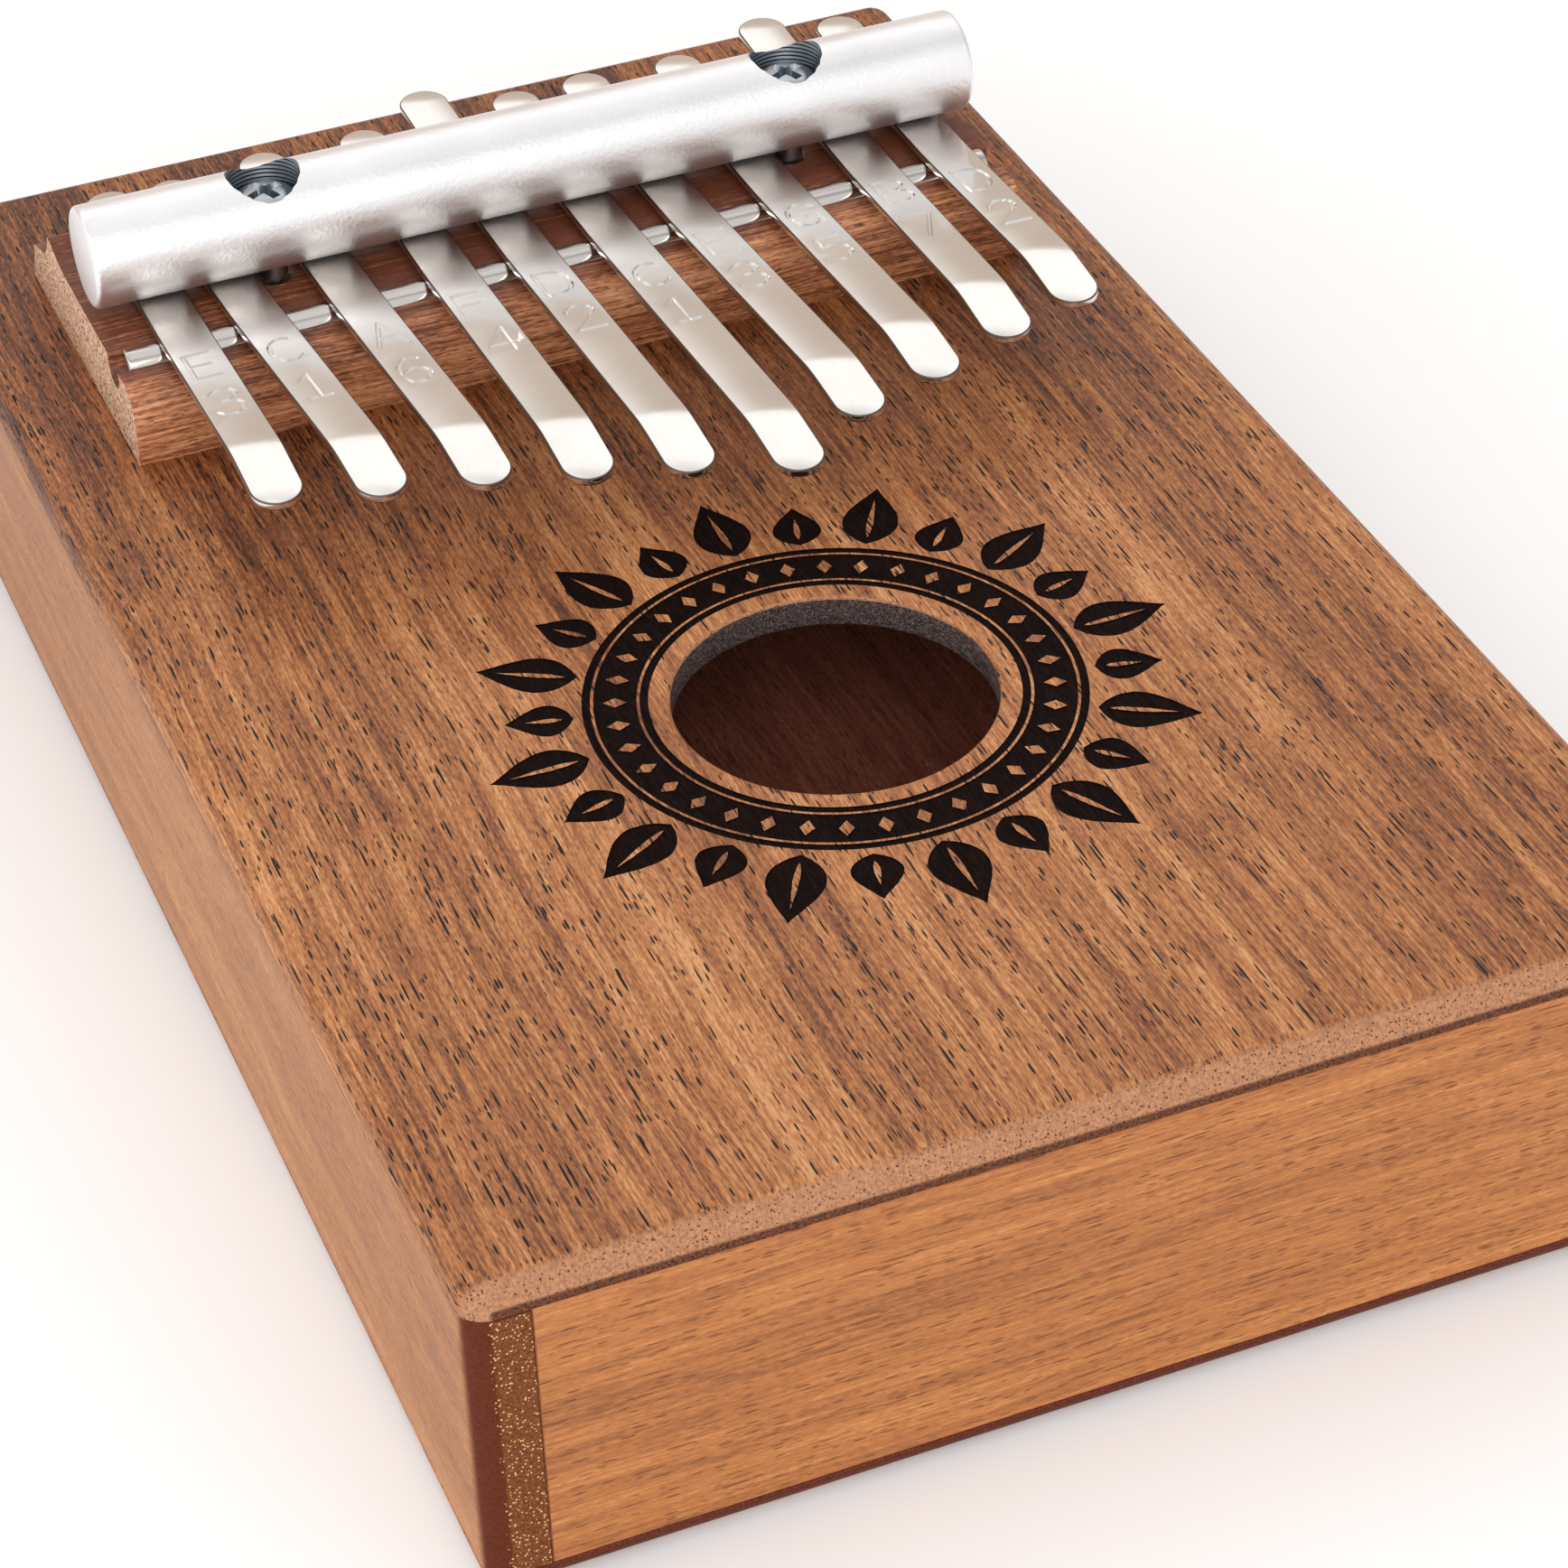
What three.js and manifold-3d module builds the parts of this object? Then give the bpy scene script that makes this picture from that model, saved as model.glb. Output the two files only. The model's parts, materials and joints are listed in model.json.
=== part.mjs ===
// A ten-tine box kalimba, the boxed form of the mbira. A glued wooden box carries a bridge board
// with a steel rod, and ten spring-steel tines held under a screwed pressure bar.
//
// Units are millimetres and +Z is up. +Y runs from the player's end to the bridge end, so +X is on
// the player's right. The origin is the middle of the box's footprint, on the surface it stands on.

import * as THREE from 'three';
import { RoundedBoxGeometry } from 'three/addons/geometries/RoundedBoxGeometry.js';
import { mergeVertices } from 'three/addons/utils/BufferGeometryUtils.js';
import Module from 'manifold-3d';

const wasm = await Module();
wasm.setup();

// ---------------------------------------------------------------- driving dimensions

const BOX = { width: 132, length: 210, height: 40, edge: 3 };
const PANEL = { top: 3.75, back: 3, wall: 6.5 };

// Lengths marked "from front" start at the player's end of the box, and heights marked "above the
// soundboard" start at the top face of the box.
const FRONT = -BOX.length / 2;
const SOUNDBOARD = BOX.height;
const UNDER_SOUNDBOARD = BOX.height - PANEL.top;

const HOLE = { fromFront: 70.2, radius: 17.3 };

// The bridge board, with its ridge's middle and both feet given from front.
const BOARD = {
  halfLength: 54.8,
  footFront: 142.8,
  footRear: 189.2,
  lip: 9.3,
  top: 9.6,
  ridge: 11.1,
  ridgeFromFront: 177.4,
};

const ROD = { fromFront: 150.2, above: 8.55, radius: 2, halfLength: 53.3, chamfer: 0.3, seatGap: 0.15 };
const BAR = { fromFront: 160.6, above: 17.5, radius: 6, halfLength: 54.4, chamfer: 0.7 };

const SCREW = {
  places: { left: -32.4, right: 32.4 },
  headRadius: 3.7,
  headHeight: 2.6,
  shankRadius: 1.9,
  seatAbove: 18.3,
  seatGap: 0.1,
  length: 30,
  pointHeight: 3,
  recess: { long: 4.4, wide: 1.1, deep: 1.4 },
};
const COUNTERBORE_RADIUS = 4.4;
const SCREW_HOLE_RADIUS = 2.2;

// The block under the soundboard that the screws bite into.
const BRACE = { fromFront: 160.6, width: 30, depth: 10 };

// Heights here are those of a tine's lower face.
const TINE = {
  width: 5.9,
  thickness: 0.9,
  atClamp: 10.5,
  atRod: 10.6,
  atRidge: 11.25,
  rise: 0.05,
  tipLength: 9.7,
  tipDrop: 0.13,
  splitGap: 0.3,
};

// Each tine's place across the box at the pressure bar, how many degrees its tip leans towards +X,
// and where its tip and its tail end, from front. Players set the lengths and leans by hand.
const TINES = [
  { across: -46.3, lean: 0, tip: 111.6, tail: 183 },
  { across: -37.9, lean: 2.6, tip: 107.9, tail: 182.5 },
  { across: -26.4, lean: 1.8, tip: 105.0, tail: 184 },
  { across: -14.4, lean: 0, tip: 101.1, tail: 184 },
  { across: -4.6, lean: 0.5, tip: 97.5, tail: 189.5 },
  { across: 5.8, lean: 0.7, tip: 92.5, tail: 185 },
  { across: 15.4, lean: 1.6, tip: 100.1, tail: 185.5 },
  { across: 27.0, lean: 0.7, tip: 103.9, tail: 185 },
  { across: 39.2, lean: -0.8, tip: 108.6, tail: 189 },
  { across: 48.6, lean: 0, tip: 112.4, tail: 185.5 },
];

// ---------------------------------------------------------------- finishes

const finish = (color, roughness, metalness) =>
  () => new THREE.MeshStandardMaterial({ color, roughness, metalness });

const soundboardWood = finish(0x96562f, 0.5, 0);
const sideWood = finish(0xa8673d, 0.5, 0);
const endWood = finish(0xb87848, 0.5, 0);
const boardWood = finish(0x8a5a38, 0.6, 0);
const braceWood = finish(0xc09a6c, 0.7, 0);
const satinAluminium = finish(0xcfcac8, 0.45, 1);
const polishedSteel = finish(0xd6d2cc, 0.2, 1);
const screwSteel = finish(0x8f949a, 0.3, 1);

// ---------------------------------------------------------------- solids and booleans

// A closed three.js geometry as a solid that can be cut and joined.
function solid(geometry) {
  const bare = geometry.index ? geometry.clone() : geometry;
  bare.deleteAttribute('normal');
  bare.deleteAttribute('uv');
  const merged = mergeVertices(bare, 1e-5);
  const mesh = new wasm.Mesh({
    numProp: 3,
    vertProperties: new Float32Array(merged.attributes.position.array),
    triVerts: new Uint32Array(merged.index.array),
  });
  return new wasm.Manifold(mesh);
}

// A solid turned back into a three.js geometry.
function geometryOf(body) {
  const mesh = body.getMesh();
  const geometry = new THREE.BufferGeometry();
  geometry.setAttribute('position', new THREE.BufferAttribute(mesh.vertProperties, 3));
  geometry.setIndex(new THREE.BufferAttribute(mesh.triVerts, 1));
  geometry.computeVertexNormals();
  return geometry;
}

// A block between two corners.
function block(low, high) {
  const size = high.map((value, i) => value - low[i]);
  const middle = high.map((value, i) => (value + low[i]) / 2);
  return solid(new THREE.BoxGeometry(...size).translate(...middle));
}

// An upright cylinder from one height to another.
function post(x, y, radius, low, high, segments = 32) {
  const geometry = new THREE.CylinderGeometry(radius, radius, high - low, segments);
  return solid(geometry.rotateX(Math.PI / 2).translate(x, y, (low + high) / 2));
}

// A side outline, drawn with +Y to the right and +Z up, stretched along X.
function stretchedAlongX(outline, halfLength) {
  const geometry = new THREE.ExtrudeGeometry(outline, {
    depth: 2 * halfLength,
    bevelEnabled: false,
    curveSegments: 12,
  });
  const sideways = new THREE.Matrix4().makeBasis(
    new THREE.Vector3(0, 1, 0),
    new THREE.Vector3(0, 0, 1),
    new THREE.Vector3(1, 0, 0),
  );
  return geometry.applyMatrix4(sideways).translate(-halfLength, 0, 0);
}

// A turned shape about the X axis, from [radius, distance along X] points.
function turnedAboutX(profile, segments) {
  const points = profile.map(([radius, along]) => new THREE.Vector2(radius, along));
  return new THREE.LatheGeometry(points, segments).rotateZ(-Math.PI / 2);
}

const model = new THREE.Group();

function addPart(name, geometry, material) {
  const mesh = new THREE.Mesh(geometry, material());
  mesh.name = name;
  model.add(mesh);
  return mesh;
}

// ---------------------------------------------------------------- the sound box

const roundedBox = solid(
  new RoundedBoxGeometry(BOX.width, BOX.length, BOX.height, 4, BOX.edge)
    .translate(0, 0, BOX.height / 2),
);
const holeY = FRONT + HOLE.fromFront;
const barY = FRONT + BAR.fromFront;
const screwPlaces = Object.entries(SCREW.places);

// Holes for both screws, between two heights.
function screwHoles(low, high, radius = SCREW_HOLE_RADIUS) {
  const [first, second] = screwPlaces.map(([, x]) => post(x, barY, radius, low, high));
  return first.add(second);
}

function addSoundBox() {
  const halfWidth = BOX.width / 2;
  const halfLength = BOX.length / 2;
  const innerWidth = halfWidth - PANEL.wall;
  const innerLength = halfLength - PANEL.wall;
  const floor = PANEL.back;
  const ceiling = UNDER_SOUNDBOARD;
  const panel = (low, high) => roundedBox.intersect(block(low, high));

  const top = panel([-halfWidth, -halfLength, ceiling], [halfWidth, halfLength, SOUNDBOARD])
    .subtract(post(0, holeY, HOLE.radius, ceiling - 1, SOUNDBOARD + 1, 72))
    .subtract(screwHoles(ceiling - 1, SOUNDBOARD + 1));
  addPart('top_plate', geometryOf(top), soundboardWood);

  const back = panel([-halfWidth, -halfLength, 0], [halfWidth, halfLength, floor]);
  addPart('back_plate', geometryOf(back), soundboardWood);

  const left = panel([-halfWidth, -halfLength, floor], [-innerWidth, halfLength, ceiling]);
  addPart('left_side', geometryOf(left), sideWood);

  const right = panel([innerWidth, -halfLength, floor], [halfWidth, halfLength, ceiling]);
  addPart('right_side', geometryOf(right), sideWood);

  const front = panel([-innerWidth, -halfLength, floor], [innerWidth, -innerLength, ceiling]);
  addPart('front_end', geometryOf(front), endWood);

  const rear = panel([-innerWidth, innerLength, floor], [innerWidth, halfLength, ceiling]);
  addPart('rear_end', geometryOf(rear), endWood);

  const braceY = FRONT + BRACE.fromFront;
  const brace = block(
    [-innerWidth, braceY - BRACE.width / 2, ceiling - BRACE.depth],
    [innerWidth, braceY + BRACE.width / 2, ceiling],
  ).subtract(screwHoles(ceiling - BRACE.depth - 1, ceiling + 1));
  addPart('bridge_brace', geometryOf(brace), braceWood);
}

// ---------------------------------------------------------------- the bridge

// The board seen from the side: a rounded nose, a round groove for the rod, a flat top under the
// bar, a ridge that holds the tines' tails up, and a cove behind it.
function boardOutline() {
  const y = (fromFront) => FRONT + fromFront;
  const z = (above) => SOUNDBOARD + above;
  const { footFront, footRear, lip, top, ridge, ridgeFromFront } = BOARD;
  const grooveRadius = ROD.radius + ROD.seatGap;
  const grooveDip = Math.asin((lip - ROD.above) / grooveRadius);
  const outline = new THREE.Shape();
  outline.moveTo(y(footFront), z(0));
  outline.lineTo(y(footFront - 0.5), z(lip * 0.6));
  outline.quadraticCurveTo(y(footFront - 0.2), z(lip - 0.2), y(footFront + 3), z(lip));
  outline.lineTo(y(ROD.fromFront) - grooveRadius * Math.cos(grooveDip), z(lip));
  outline.absarc(y(ROD.fromFront), z(ROD.above), grooveRadius, Math.PI - grooveDip, grooveDip, false);
  outline.lineTo(y(ROD.fromFront + 2.6), z(top));
  outline.lineTo(y(ridgeFromFront - 6.5), z(top));
  outline.quadraticCurveTo(y(ridgeFromFront - 2.6), z(top + 0.2), y(ridgeFromFront - 0.6), z(ridge));
  outline.lineTo(y(ridgeFromFront + 0.6), z(ridge));
  outline.quadraticCurveTo(y(ridgeFromFront + 2.4), z(7), y(ridgeFromFront + 5.6), z(6.7));
  outline.lineTo(y(footRear - 2.6), z(5.5));
  outline.lineTo(y(footRear), z(0));
  outline.closePath();
  return outline;
}

// A round bar along X with chamfered ends.
function roundBar({ radius, halfLength, chamfer }, segments) {
  return turnedAboutX([
    [0, -halfLength],
    [radius - chamfer, -halfLength],
    [radius, -halfLength + chamfer],
    [radius, halfLength - chamfer],
    [radius - chamfer, halfLength],
    [0, halfLength],
  ], segments);
}

function addBridge() {
  const board = solid(stretchedAlongX(boardOutline(), BOARD.halfLength))
    .subtract(screwHoles(SOUNDBOARD - 1, SOUNDBOARD + BOARD.top + 1));
  addPart('bridge_board', geometryOf(board), boardWood);

  const rod = addPart('bridge_rod', roundBar(ROD, 24), polishedSteel);
  rod.position.set(0, FRONT + ROD.fromFront, SOUNDBOARD + ROD.above);

  const overBar = SOUNDBOARD + BAR.above + BAR.radius + 1;
  const bar = solid(roundBar(BAR, 48).translate(0, barY, SOUNDBOARD + BAR.above))
    .subtract(screwHoles(SOUNDBOARD + BOARD.top, overBar))
    .subtract(screwHoles(SOUNDBOARD + SCREW.seatAbove, overBar, COUNTERBORE_RADIUS));
  addPart('pressure_bar', geometryOf(bar), satinAluminium);
}

// ---------------------------------------------------------------- the screws

// A pan-head wood screw, its seat at height 0 and its point downwards.
function screwGeometry() {
  const { headRadius, headHeight, shankRadius, length, pointHeight, recess } = SCREW;
  const profile = [
    [0, -length],
    [0.3, -length],
    [shankRadius, -length + pointHeight],
    [shankRadius, 0],
    [headRadius, 0],
    [headRadius, headHeight * 0.45],
    [headRadius * 0.9, headHeight * 0.78],
    [headRadius * 0.68, headHeight],
    [0, headHeight],
  ].map(([radius, z]) => new THREE.Vector2(radius, z));
  const turned = solid(new THREE.LatheGeometry(profile, 32).rotateX(Math.PI / 2));
  const floor = headHeight - recess.deep;
  const slot = (long, wide) => block([-long / 2, -wide / 2, floor], [long / 2, wide / 2, headHeight + 1]);
  const cross = slot(recess.long, recess.wide).add(slot(recess.wide, recess.long));
  return geometryOf(turned.subtract(cross));
}

function addScrews() {
  for (const [side, x] of screwPlaces) {
    const screw = addPart(`screw_${side}`, screwGeometry(), screwSteel);
    screw.position.set(x, barY, SOUNDBOARD + SCREW.seatAbove + SCREW.seatGap);
  }
}

// ---------------------------------------------------------------- the tines

// The lower face of a tine at a distance from the bar, towards the tail when positive. bendAt is
// where the tip starts to bend down.
function tineHeight(along, bendAt) {
  const rodAt = ROD.fromFront - BAR.fromFront;
  const ridgeAt = BOARD.ridgeFromFront - BAR.fromFront;
  if (along >= 0) {
    return TINE.atClamp + (TINE.atRidge - TINE.atClamp) * along / ridgeAt;
  }
  if (along >= rodAt) {
    return TINE.atClamp + (TINE.atRod - TINE.atClamp) * along / rodAt;
  }
  const raised = TINE.atRod + (rodAt - Math.max(along, bendAt)) * TINE.rise;
  const tipPart = Math.max(bendAt - along, 0);
  return raised - tipPart * TINE.tipDrop;
}

// A length of a tine, between two distances from the bar. Its flat strip follows tineHeight and is
// trimmed to the tine's outline, which is round at both ends.
function tineLength(tine, from, to) {
  const tipAt = tine.tip - BAR.fromFront;
  const tailAt = tine.tail - BAR.fromFront;
  const bendAt = tipAt + TINE.tipLength;
  const corners = [from, bendAt, 0, to]
    .filter((along) => along >= from && along <= to)
    .sort((a, b) => a - b);

  const side = new THREE.Shape();
  const lower = corners.map((along) => [along, tineHeight(along, bendAt)]);
  const upper = lower.map(([along, height]) => [along, height + TINE.thickness]).reverse();
  side.setFromPoints([...lower, ...upper].map(([along, height]) => new THREE.Vector2(along, height)));
  const strip = solid(stretchedAlongX(side, TINE.width));

  const radius = TINE.width / 2;
  const plan = new THREE.Shape();
  plan.absarc(0, tipAt + radius, radius, Math.PI, 2 * Math.PI, false);
  plan.absarc(0, tailAt - radius, radius, 0, Math.PI, false);
  plan.closePath();
  const blank = solid(new THREE.ExtrudeGeometry(plan, {
    depth: 20,
    bevelEnabled: false,
    curveSegments: 16,
  }));
  return geometryOf(strip.intersect(blank));
}

// Each tine is two solids that meet over the rod: the clamped tail, and the tongue that is plucked.
function addTines() {
  const rodAt = ROD.fromFront - BAR.fromFront;
  TINES.forEach((tine, index) => {
    const name = `tine_${String(index + 1).padStart(2, '0')}`;
    const lengths = {
      tail: [rodAt + TINE.splitGap / 2, tine.tail - BAR.fromFront],
      tongue: [tine.tip - BAR.fromFront, rodAt - TINE.splitGap / 2],
    };
    for (const [part, [from, to]] of Object.entries(lengths)) {
      const mesh = addPart(`${name}_${part}`, tineLength(tine, from, to), polishedSteel);
      mesh.position.set(tine.across, barY, SOUNDBOARD);
      mesh.rotation.z = THREE.MathUtils.degToRad(tine.lean);
    }
  });
}

addSoundBox();
addBridge();
addScrews();
addTines();

export default model;
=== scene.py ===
"""Looks for the ten-tine box kalimba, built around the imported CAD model.

Shapes are worked out in millimetres, in the row frame: +Z is up and +Y runs from the player's end to
the bridge end. Every mesh keeps its place in its own points, so its object sits at the origin.
"""

import json
import math
import random

import bpy
import bmesh
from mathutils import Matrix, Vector
from mathutils.geometry import delaunay_2d_cdt
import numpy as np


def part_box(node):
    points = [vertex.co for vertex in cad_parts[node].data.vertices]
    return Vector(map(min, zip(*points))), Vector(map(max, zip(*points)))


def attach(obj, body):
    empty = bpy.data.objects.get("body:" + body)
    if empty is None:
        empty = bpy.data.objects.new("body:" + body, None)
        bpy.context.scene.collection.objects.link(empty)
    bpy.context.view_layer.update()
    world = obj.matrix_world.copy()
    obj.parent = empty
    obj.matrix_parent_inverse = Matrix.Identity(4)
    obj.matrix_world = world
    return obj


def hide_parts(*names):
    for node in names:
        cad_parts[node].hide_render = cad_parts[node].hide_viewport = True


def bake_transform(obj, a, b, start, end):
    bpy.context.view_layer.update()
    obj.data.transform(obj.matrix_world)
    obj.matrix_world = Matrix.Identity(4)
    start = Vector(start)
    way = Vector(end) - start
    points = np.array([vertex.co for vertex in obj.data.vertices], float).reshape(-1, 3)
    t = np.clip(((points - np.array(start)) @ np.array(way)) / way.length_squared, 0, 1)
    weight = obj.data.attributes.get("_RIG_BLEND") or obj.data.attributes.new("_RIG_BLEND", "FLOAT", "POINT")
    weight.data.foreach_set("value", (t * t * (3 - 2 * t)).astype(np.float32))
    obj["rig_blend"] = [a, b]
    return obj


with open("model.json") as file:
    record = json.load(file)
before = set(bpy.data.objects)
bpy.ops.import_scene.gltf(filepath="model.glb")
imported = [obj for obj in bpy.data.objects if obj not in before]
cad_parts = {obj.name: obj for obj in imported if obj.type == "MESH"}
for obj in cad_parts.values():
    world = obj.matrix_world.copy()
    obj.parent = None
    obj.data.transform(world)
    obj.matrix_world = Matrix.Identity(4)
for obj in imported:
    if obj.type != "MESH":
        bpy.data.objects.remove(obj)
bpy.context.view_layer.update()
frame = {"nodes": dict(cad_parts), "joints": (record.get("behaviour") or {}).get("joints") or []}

MM = 0.001
TAU = 2 * math.pi


# ---------------------------------------------------------------- places from the CAD model


def box_mm(node):
    """A CAD node's lowest and highest corners in millimetres."""
    low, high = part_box(node)
    return low / MM, high / MM


def middle_mm(node):
    low, high = box_mm(node)
    return (low + high) / 2


TOP_LOW, TOP_HIGH = box_mm("top_plate")
BACK_HIGH = box_mm("back_plate")[1]
BOARD_LOW, BOARD_HIGH = box_mm("bridge_board")
BAR_LOW, BAR_HIGH = box_mm("pressure_bar")
ROD_LOW, ROD_HIGH = box_mm("bridge_rod")
BAR_MID = (BAR_LOW + BAR_HIGH) / 2
ROD_MID = (ROD_LOW + ROD_HIGH) / 2
FRONT = TOP_LOW.y
SOUNDBOARD = TOP_HIGH.z

# The rest repeats the CAD source's own dimensions.
EDGE = 3.0
HOLE_RADIUS = 17.3
HOLE_Y = FRONT + 70.2
COUNTERBORE_RADIUS = 4.4
SCREW_HOLE_RADIUS = 2.2
SCREW_SEAT = SOUNDBOARD + 18.3
SCREW_RISE = 0.1
SCREW_PLACES = {"left": middle_mm("screw_left").x, "right": middle_mm("screw_right").x}
RIDGE_Y = FRONT + 177.4
TINE_WIDTH = 5.9
TINE_THICKNESS = 0.9


# ---------------------------------------------------------------- meshes


class Shape:
    """Points in millimetres and faces, gathered into one closed piece."""

    def __init__(self):
        self.points = []
        self.faces = []
        self.slots = []

    def add(self, points):
        start = len(self.points)
        self.points += [Vector(p) for p in points]
        return list(range(start, len(self.points)))

    def face(self, corners, slot=0):
        self.faces.append(list(corners))
        self.slots.append(slot)

    def bridge(self, ring_a, ring_b, slot=0):
        """Quads between two closed rings of the same length."""
        for i in range(len(ring_a)):
            j = (i + 1) % len(ring_a)
            self.face((ring_a[i], ring_a[j], ring_b[j], ring_b[i]), slot)

    def loft(self, rings, slot=0):
        """Quads along a row of rings, given as points. Returns the first and last rings' indices."""
        made = [self.add(ring) for ring in rings]
        for ring_a, ring_b in zip(made, made[1:]):
            self.bridge(ring_a, ring_b, slot)
        return made[0], made[-1]

    def mesh(self, name, smooth=35):
        mesh = bpy.data.meshes.new(name)
        mesh.from_pydata([p * MM for p in self.points], [], self.faces)
        mesh.polygons.foreach_set("material_index", self.slots)
        bm = bmesh.new()
        bm.from_mesh(mesh)
        bmesh.ops.remove_doubles(bm, verts=bm.verts, dist=0.002 * MM)
        bmesh.ops.dissolve_degenerate(bm, edges=bm.edges, dist=0.0005 * MM)
        bmesh.ops.recalc_face_normals(bm, faces=bm.faces)
        bm.to_mesh(mesh)
        bm.free()
        smooth_faces(mesh, smooth)
        return mesh

    def piece(self, name, smooth=35):
        return link(name, self.mesh(name, smooth))


def smooth_faces(mesh, degrees):
    mesh.polygons.foreach_set("use_smooth", [True] * len(mesh.polygons))
    mesh.set_sharp_from_angle(angle=math.radians(degrees))


def link(name, mesh):
    piece = bpy.data.objects.new(name, mesh)
    bpy.context.scene.collection.objects.link(piece)
    return piece


def settled(piece):
    """Applies a piece's modifiers to its mesh."""
    graph = bpy.context.evaluated_depsgraph_get()
    graph.update()
    mesh = bpy.data.meshes.new_from_object(piece.evaluated_get(graph), depsgraph=graph)
    piece.modifiers.clear()
    piece.data = mesh
    return piece


def cut(piece, cutters, smooth=35):
    """Cuts each cutter out of a piece, and removes the cutters."""
    for cutter in cutters:
        modifier = piece.modifiers.new("cut", "BOOLEAN")
        modifier.operation = "DIFFERENCE"
        modifier.solver = "EXACT"
        modifier.object = cutter
    settled(piece)
    for cutter in cutters:
        bpy.data.objects.remove(cutter)
    smooth_faces(piece.data, smooth)
    return piece


def bevel(piece, width, segments=2, degrees=35):
    modifier = piece.modifiers.new("bevel", "BEVEL")
    modifier.width = width * MM
    modifier.segments = segments
    modifier.limit_method = "ANGLE"
    modifier.angle_limit = math.radians(degrees)
    modifier.harden_normals = False
    settled(piece)
    smooth_faces(piece.data, degrees)
    return piece


def circle(x, y, radius, count):
    angles = [TAU * i / count for i in range(count)]
    return [(x + radius * math.cos(a), y + radius * math.sin(a)) for a in angles]


def at_height(outline, z):
    return [(x, y, z) for x, y in outline]


def anticlockwise(outline):
    area = sum(a[0] * b[1] - b[0] * a[1] for a, b in zip(outline, [*outline[1:], outline[0]]))
    return list(outline) if area > 0 else list(outline)[::-1]


def filled(outline, holes=(), marks=(), lines=()):
    """Triangles that fill a flat outline apart from its holes. Each comes with the number of the last
    mark that it lies in, or -1. Marks and lines are followed by triangle edges."""
    points = []
    loops = []
    for loop in (outline, *holes, *marks):
        loops.append(list(range(len(points), len(points) + len(loop))))
        points += [Vector(p) for p in anticlockwise(loop)]
    edges = []
    for line in lines:
        edges.append((len(points), len(points) + 1))
        points += [Vector(p) for p in line]
    made = delaunay_2d_cdt(points, edges, loops, 1, 1e-5, True)
    triangles = []
    for corners, inside in zip(made[2], made[5]):
        if 0 not in inside or any(0 < i <= len(holes) for i in inside):
            continue
        triangles.append((tuple(corners), max(max(inside) - 1 - len(holes), -1)))
    return made[0], triangles


def relief(shape, flat_points, triangles, height, depth_of, slot_of):
    """Adds a filled outline as a surface at a height, with its marks sunk and walls at their edges."""
    used = {}

    def corner(index, depth):
        key = (index, depth)
        if key not in used:
            x, y = flat_points[index]
            used[key] = shape.add([(x, y, height(x, y) - depth)])[0]
        return used[key]

    beside = {}
    for corners, mark in triangles:
        depth = depth_of(mark)
        shape.face([corner(i, depth) for i in corners], slot_of(mark))
        for a, b in zip(corners, corners[1:] + corners[:1]):
            beside.setdefault(frozenset((a, b)), []).append((mark, depth))
    for edge, sides in beside.items():
        if len(sides) == 2 and sides[0][1] != sides[1][1]:
            a, b = edge
            (mark_a, depth_a), (mark_b, depth_b) = sides
            deeper = mark_a if depth_a > depth_b else mark_b
            shape.face(
                (corner(a, depth_a), corner(b, depth_a), corner(b, depth_b), corner(a, depth_b)),
                slot_of(deeper),
            )


def turned(profile, segments, axis, centre, slot=0):
    """A closed turned shape. The profile is [radius, distance along the axis], and it starts and ends
    at a point on the axis."""
    shape = Shape()

    def place(radius, along, angle):
        across = (radius * math.cos(angle), radius * math.sin(angle))
        local = (along, *across) if axis == "X" else (*across, along)
        return Vector(local) + Vector(centre)

    first = shape.add([place(0, profile[0][1], 0)])[0]
    last = shape.add([place(0, profile[-1][1], 0)])[0]
    rings = [
        [place(radius, along, TAU * i / segments) for i in range(segments)]
        for radius, along in profile[1:-1]
    ]
    low, high = shape.loft(rings, slot)
    for ring, pole in ((low, first), (high, last)):
        for i in range(segments):
            shape.face((ring[i], ring[(i + 1) % segments], pole), slot)
    return shape


def arc(radius, start, end, count):
    """Points of an arc about the origin, with angles in degrees."""
    step = (end - start) / (count - 1)
    angles = [math.radians(start + i * step) for i in range(count)]
    return [(radius * math.cos(a), radius * math.sin(a)) for a in angles]


def easing(width):
    """The inset and drop at each step round an eased edge, from its flat face to its side."""
    angles = [math.radians(a) for a in (0, 30, 60, 90)]
    return [(width * (1 - math.sin(a)), width * (1 - math.cos(a))) for a in angles]


# ---------------------------------------------------------------- materials


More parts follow.
